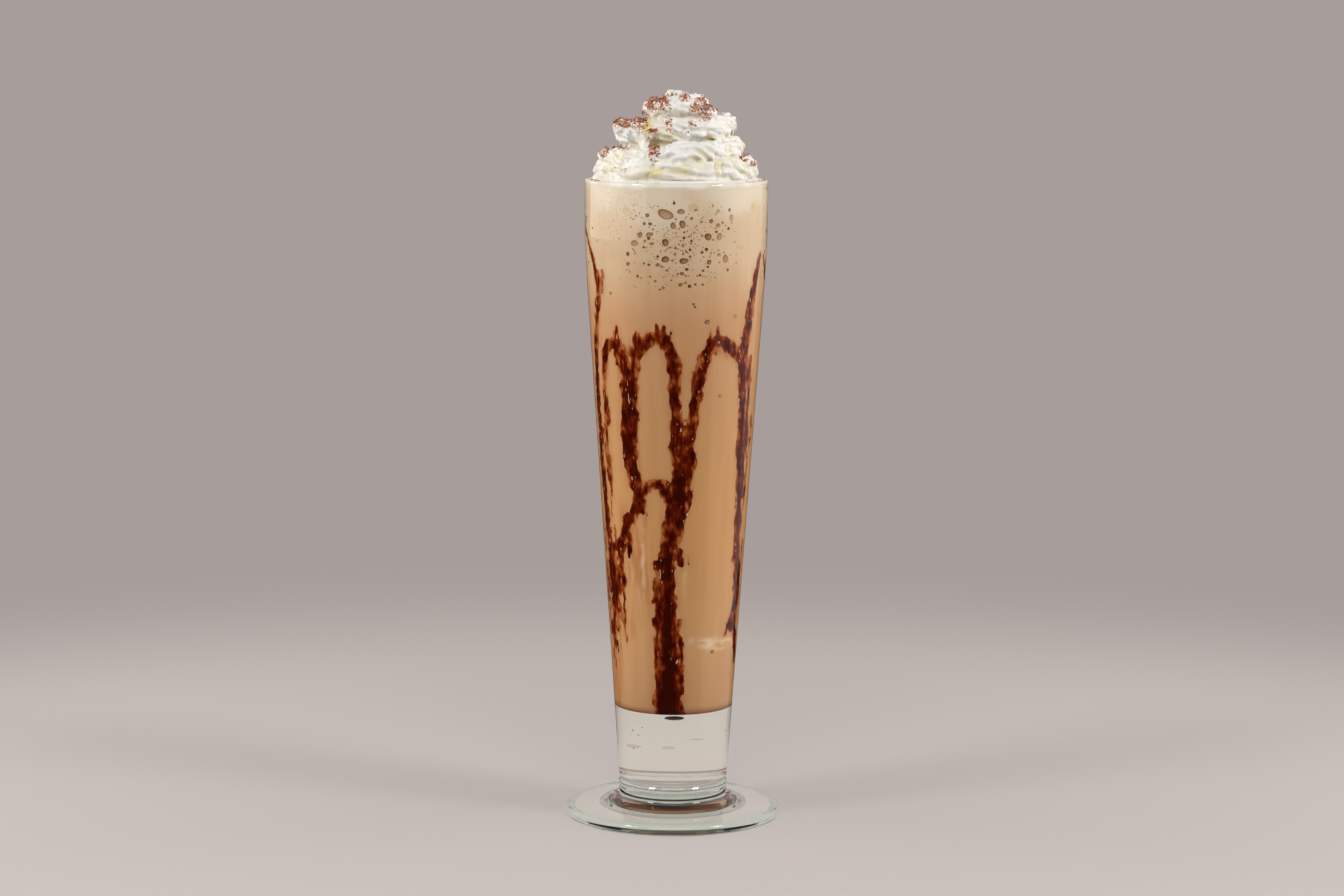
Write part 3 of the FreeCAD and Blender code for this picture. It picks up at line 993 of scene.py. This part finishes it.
# what the rope is laid on, so that no hollow stays inside it
heart_outline = [
    (0, coil_start - 2),
    (coil_radius * 0.95, coil_start - 2),
    (coil_radius * 0.86, coil_start + 8),
    (coil_radius * 0.66, coil_start + 18),
    (coil_radius * 0.25, coil_start + 24),
    (0, coil_start + 25),
]
parts.append(turned(heart_outline, 64))
rough = new_piece("cream_rough", *joined(parts))
skin = rough.modifiers.new("skin", "REMESH")
skin.mode = "VOXEL"
skin.voxel_size = 0.42 * MM
soften = rough.modifiers.new("soften", "SMOOTH")
soften.factor = 0.5
soften.iterations = 2
bpy.context.view_layer.update()
shaped = bpy.data.meshes.new_from_object(rough.evaluated_get(bpy.context.evaluated_depsgraph_get()))
bpy.data.objects.remove(rough)
swirl = bpy.data.objects.new("cream_swirl", shaped)
bpy.context.scene.collection.objects.link(swirl)
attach(swirl, "root")
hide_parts("whipped_cream")


def facings_of(piece):
    """The direction that each point's surface faces."""
    flat = np.zeros(len(piece.data.vertices) * 3, np.float32)
    piece.data.vertices.foreach_get("normal", flat)
    return flat.reshape(-1, 3).astype(float)


def joined_to(piece):
    """The pairs of points that a piece's edges join."""
    flat = np.zeros(len(piece.data.edges) * 2, np.int32)
    piece.data.edges.foreach_get("vertices", flat)
    return flat.reshape(-1, 2)


def spread_over(values, pairs, times):
    """Values at points, each averaged with its neighbours' a number of times."""
    count = np.zeros(len(values))
    np.add.at(count, pairs.ravel(), 1)
    for _ in range(times):
        total = np.zeros_like(values)
        np.add.at(total, pairs[:, 0], values[pairs[:, 1]])
        np.add.at(total, pairs[:, 1], values[pairs[:, 0]])
        values = 0.5 * values + 0.5 * (total.T / np.maximum(count, 1)).T
    return values


surface = points_of(swirl)
facing = facings_of(swirl)
lumps = noise(surface, 6.5, 21) * 0.7 + noise(surface, 2.8, 22) * 0.42
folds = 1 - np.abs(noise(surface, (3.0, 3.0, 2.6), 23)) * 2.4
crumbs = noise(surface, 1.1, 24) * 0.2
surface = surface + facing * (lumps - np.clip(folds, 0, 1) * 0.45 + crumbs * 0.6)[:, None]
surface[:, 2] = np.minimum(surface[:, 2], cream_top - 0.05)
shaped.vertices.foreach_set("co", (surface * MM).astype(np.float32).ravel())
shaped.update()
shaped.shade_smooth()
pairs = joined_to(swirl)
smoothed = spread_over(surface, pairs, 14)
hollow = np.clip(((smoothed - surface) * facings_of(swirl)).sum(axis=1) / 0.5, 0, 1)
give_values(swirl, "hollow", spread_over(hollow, pairs, 2))


def patches_on(surface, patches, size, edge):
    """How strongly points are covered by soft patches, as seen from the front or the back.

    A patch is (across, height, reach across, reach up, strength). Its reach is scaled by the size,
    and the edge says how steeply it ends.
    """
    cover = np.zeros(len(surface))
    for across, up, wide, high, strength in patches:
        away = np.hypot((surface[:, 0] - across) / wide, (surface[:, 2] - up) / high)
        cover = np.maximum(cover, np.clip((size - away) * edge, 0, 1) * strength)
    return cover


# painted shade: yellowish patches where the cream's creases and crevices look yellow in shadow
yellow_shade_patches = [
    (-10.4, 254.2, 2.2, 2.2, 1.0), (12.0, 250.5, 1.9, 1.6, 0.8), (-8.0, 238.6, 4.0, 1.6, 0.8),
    (1.0, 239.4, 5.0, 1.6, 0.45), (15.0, 241.0, 2.2, 2.2, 0.5), (9.0, 245.6, 1.7, 1.2, 0.45),
    (-3.0, 251.0, 6.0, 0.7, 0.4), (-19.0, 244.0, 2.0, 1.2, 0.3),
]
at_front = patches_on(surface, yellow_shade_patches, 1.2, 1.3) * (surface[:, 1] < 0)
at_back = np.clip(noise(surface, 4.0, 25) * 2.0 - 0.9, 0, 0.6) * (surface[:, 1] > -4)
give_values(swirl, "warm", np.maximum(at_front, at_back))

cream_finish, place = new_material("cream_finish")
fine = place.mottle(700.0, 3.0)
broad = place.mottle(90.0, 1.0)
powder = place.mottle(1100.0, 4.0)
grain = place.node("Bump", None, {"Strength": 0.25, "Distance": 0.0003, "Height": fine})
cream_colour = broad.rise(0.35, 0.75).blend(colour(0.89, 0.88, 0.86), colour(0.875, 0.85, 0.79))
# painted shade: the patches above are tinted yellow
cream_colour = (place.stored("warm") * 0.85).blend(cream_colour, colour(0.86, 0.79, 0.44))
shaded = place.stored("hollow") * (0.35 + broad.rise(0.3, 0.6) * 0.65)
cream_colour = shaded.blend(cream_colour, colour(0.82, 0.77, 0.56))
dust_here = place.stored("dust")
dusted = (dust_here + (powder - 0.5) * 3.4).rise(0.32, 0.6) * dust_here.rise(0.02, 0.2)
dust_colour = (powder * 3 - 1).clamped().blend(colour(0.46, 0.17, 0.03), colour(0.76, 0.44, 0.21))
cream_colour = (dusted * 0.92).blend(cream_colour, dust_colour)
finish_material(cream_finish, place.surface(cream_colour, 0.42, {"Normal": grain}), swirl)

# in the mouth the cream meets the drink at a wavy line, and is stained below it
mouth_finish, place = new_material("mouth_finish")
wavy = (place.mottle(130.0, 1.0) - 0.5) * 4
white_part = (place.height() / MM - (froth_top + 1.2) + wavy).rise(-0.8, 0.8)
mouth_colour = white_part.blend(colour(0.85, 0.78, 0.70), colour(0.91, 0.885, 0.845))
finish_material(mouth_finish, place.surface(mouth_colour, 0.5), cream_plug)

# ---- the cocoa ----------------------------------------------------------------------------------
# Cocoa shaken over the cream: a red-brown powder that clings in patches on the crests, with coarser
# grains and flakes. A little of it lies on the rim of the glass.

front_patches = [
    # across, height, reach across, reach up, strength: as they lie on the front of the cream
    (-19.5, 256.5, 3.4, 2.4, 1.0), (-14.5, 257.5, 3.6, 2.0, 0.9), (-13.5, 254.5, 2.6, 1.6, 0.6),
    (-7.0, 262.8, 3.2, 2.6, 1.0), (-3.6, 259.5, 1.2, 3.2, 0.8), (-3.0, 256.0, 1.0, 2.4, 0.7),
    (3.0, 264.2, 1.6, 0.9, 0.8), (9.4, 260.8, 3.2, 2.8, 1.0), (5.4, 255.6, 1.4, 0.8, 0.6),
    (-8.8, 251.6, 2.2, 2.0, 0.9), (-8.0, 245.6, 1.6, 2.8, 0.8), (-4.0, 249.0, 1.6, 1.0, 0.6),
    (-26.4, 245.4, 1.5, 1.8, 0.9), (-19.0, 247.0, 2.6, 0.8, 0.6), (-21.0, 239.0, 4.0, 0.8, 0.4),
    (24.4, 243.2, 1.4, 1.0, 0.8), (27.2, 240.8, 1.2, 0.8, 0.7), (0.8, 252.6, 3.0, 0.7, 0.3),
]
back_patches = [
    (14, 255, 4.0, 2.2, 0.9), (3, 262, 4.0, 2.4, 1.0), (-10, 257, 3.0, 2.2, 0.9), (20, 246, 3.0, 1.6, 0.7),
    (-20, 245, 3.0, 1.6, 0.8), (6, 250, 2.2, 2.4, 0.8), (-3, 244, 3.0, 1.4, 0.6), (26, 241, 2.0, 1.2, 0.6),
]
facing = facings_of(swirl)
dust = np.maximum(
    patches_on(surface, front_patches, 1.75, 1.4) * (surface[:, 1] < 3),
    patches_on(surface, back_patches, 1.75, 1.4) * (surface[:, 1] > -3),
)
dust = dust * np.clip(facing[:, 2] * 0.8 + 0.75, 0, 1) * (0.75 + 0.5 * noise(surface, 1.6, 41))
dust = np.clip(dust - hollow * 0.5, 0, 1)
give_values(swirl, "dust", dust)

cocoa_rng = np.random.default_rng(5)
grain_count = 4200
stuck = 0.05
chance = dust**1.5 + 0.0025 * np.clip(facing[:, 2], 0, 1)
seats = cocoa_rng.choice(len(surface), grain_count, p=chance / chance.sum(), replace=False)
rim_middle = (mouth_radius + rim_radius) / 2
rim_seats = []
for low, high, count in ((198, 214, 26), (322, 352, 34), (60, 150, 26), (225, 262, 8), (0, 20, 8)):
    for _ in range(count):
        angle = math.radians(cocoa_rng.uniform(low, high))
        radius = cocoa_rng.uniform(mouth_radius + 0.2, rim_radius - 0.5)
        across_rim = (radius - rim_middle) / rim_round
        crest = glass_height - rim_round + rim_round * math.sqrt(max(0, 1 - across_rim**2))
        rim_seats.append((radius * math.cos(angle), radius * math.sin(angle), crest + stuck))
spots = np.vstack([surface[seats] + facing[seats] * stuck, rim_seats])
flake = np.array([(1, 0, 0), (0, 1, 0), (-1, 0, 0), (0, -1, 0), (0, 0, 0.6), (0, 0, -0.6)])
flake_faces = [(0, 1, 4), (1, 2, 4), (2, 3, 4), (3, 0, 4), (1, 0, 5), (2, 1, 5), (3, 2, 5), (0, 3, 5)]
flakes = []
for spot in spots:
    axes, _ = np.linalg.qr(cocoa_rng.normal(0, 1, (3, 3)))
    size = 0.14 + 0.34 * cocoa_rng.random() ** 2.5
    points = flake * (1, cocoa_rng.uniform(0.5, 1), cocoa_rng.uniform(0.4, 1)) @ axes * size + spot
    points[:, 2] = np.minimum(points[:, 2], cream_top - 0.02)
    flakes.append((points, flake_faces))
cocoa = new_piece("cocoa_powder", *joined(flakes))

cocoa_finish, place = new_material("cocoa_finish")
cocoa_colour = place.mottle(1400.0, 2.0).ramp(
    (0.3, 0.29, 0.10, 0.02),
    (0.5, 0.50, 0.21, 0.06),
    (0.7, 0.72, 0.38, 0.15),
)
finish_material(cocoa_finish, place.surface(cocoa_colour, 0.9), cocoa)

# ---- floor, air, lamps and camera ---------------------------------------------------------------
# A plain round floor that fades into the backdrop, an air that mirrors show as a bright room over
# a dark one, soft panels and small windows round the glass, and a long lens from a little above.

backdrop_colour = colour(0.655, 0.615, 0.605)
studio_radius = 0.62
studio_facets = 96
floor_height = 0.05 * MM
angles = np.arange(studio_facets) * 2 * np.pi / studio_facets
floor_points = [(studio_radius * np.cos(a), studio_radius * np.sin(a), floor_height) for a in angles]
floor_mesh = bpy.data.meshes.new("studio_floor")
floor_mesh.from_pydata(floor_points, [], [tuple(range(studio_facets))])
floor = bpy.data.objects.new("studio_floor", floor_mesh)
bpy.context.scene.collection.objects.link(floor)

floor_finish, place = new_material("floor_finish")
distance = place.length()
near_floor = place.surface(colour(0.755, 0.72, 0.705), 0.9, {"Specular IOR Level": 0.1})
far_floor = place.node("Emission", None, {"Color": backdrop_colour, "Strength": 1.0})
floor_shader = distance.rise(0.28, 0.60).between(near_floor, far_floor)

# painted light: seen through the glass the floor glows a little, for light that the glass
# gathers onto it, and in the glass's mirrors it ends close by
through_glass = place.ray("Transmission")
gathered_light_glow = place.node("Emission", None, {"Color": colour(0.86, 0.815, 0.775), "Strength": 1.0})
shining = through_glass * (0.3 + distance.rise(0.036, 0.05) * 0.3)
floor_shader = shining.between(floor_shader, gathered_light_glow)
mirrored_away = place.ray("Glossy") * (1 - through_glass) * distance.rise(0.08, 0.16)
floor_shader = mirrored_away.between(floor_shader, place.node("BsdfTransparent"))
finish_material(floor_finish, floor_shader, floor)

world = bpy.data.worlds.new("studio_air")
bpy.context.scene.world = world
world.use_nodes = True
world.node_tree.nodes.clear()
directions = world.node_tree.nodes.new("ShaderNodeTexCoord")
way = Value(world.node_tree, directions.outputs["Generated"])


def glow(shade, strength):
    """Air that shines evenly."""
    return way.node("Background", None, {"Color": shade, "Strength": strength})


dark_room = glow((0.02, 0.02, 0.02, 1), 1.0)
dark_ceiling = glow((0.02, 0.018, 0.015, 1), 1.0)
mirrored_room = way.height().rise(-0.03, 0.03).between(dark_room, glow(backdrop_colour, 1.5))
lighting_air = way.ray("Glossy").between(glow((1, 0.99, 0.98, 1), 0.26), mirrored_room)
seen = way.ray("Camera")
overhead = way.height().rise(0.3, 0.45) * (1 - seen)
seen_air = overhead.between(glow(backdrop_colour, 1.0), dark_ceiling)
all_air = seen.either(way.ray("Transmission")).between(lighting_air, seen_air)
air_output = world.node_tree.nodes.new("ShaderNodeOutputWorld")
world.node_tree.links.new(all_air.socket, air_output.inputs["Surface"])


def soft_panel(name, place, towards, wide, high, watts, mirrored=True):
    """A rectangular lamp that faces a point and isn't itself in the picture."""
    lamp = bpy.data.lights.new(name, "AREA")
    lamp.shape = "RECTANGLE"
    lamp.size, lamp.size_y, lamp.energy = wide, high, watts
    panel = bpy.data.objects.new(name, lamp)
    panel.location = place
    direction = np.array(towards) - np.array(place)
    yaw = math.atan2(direction[1], direction[0]) - math.pi / 2
    pitch = math.atan2(direction[2], math.hypot(direction[0], direction[1]))
    panel.rotation_euler = (math.pi / 2 + pitch, 0, yaw)
    panel.visible_camera = False
    panel.visible_glossy = mirrored
    panel.visible_transmission = False
    bpy.context.scene.collection.objects.link(panel)


middle_of_glass = (0, 0, 0.12)
soft_panel("left_panel", (-0.85, -0.10, 0.62), (0, -0.10, 0.62), 2.0, 1.0, 4.5)
soft_panel("right_panel", (0.85, 0.13, 0.35), (0, 0.13, 0.35), 1.5, 1.5, 2.5)
soft_panel("left_fill", (-1.0, -0.05, 0.25), middle_of_glass, 1.0, 1.0, 7.5, mirrored=False)
soft_panel("right_fill", (1.0, -0.05, 0.25), middle_of_glass, 1.0, 1.0, 9, mirrored=False)
soft_panel("front_panel", (0.0, -1.2, 1.3), middle_of_glass, 1.2, 0.8, 6)
soft_panel("left_window", (-0.9, -0.6, 1.1), middle_of_glass, 0.3, 0.3, 4)
soft_panel("right_window", (0.9, -0.5, 1.1), middle_of_glass, 0.3, 0.3, 4)

downwards = math.radians(7.41)
leaning = math.radians(-0.34)
lens = bpy.data.cameras.new("camera")
lens.lens = 96.5
lens.sensor_width = 36.0
camera = bpy.data.objects.new("camera", lens)
camera.location = (-0.00205, -1.307, 0.3065)
camera.rotation_euler = (math.pi / 2 - downwards, leaning, 0)
bpy.context.scene.collection.objects.link(camera)
bpy.context.scene.camera = camera
bpy.context.scene.view_settings.view_transform = "Standard"
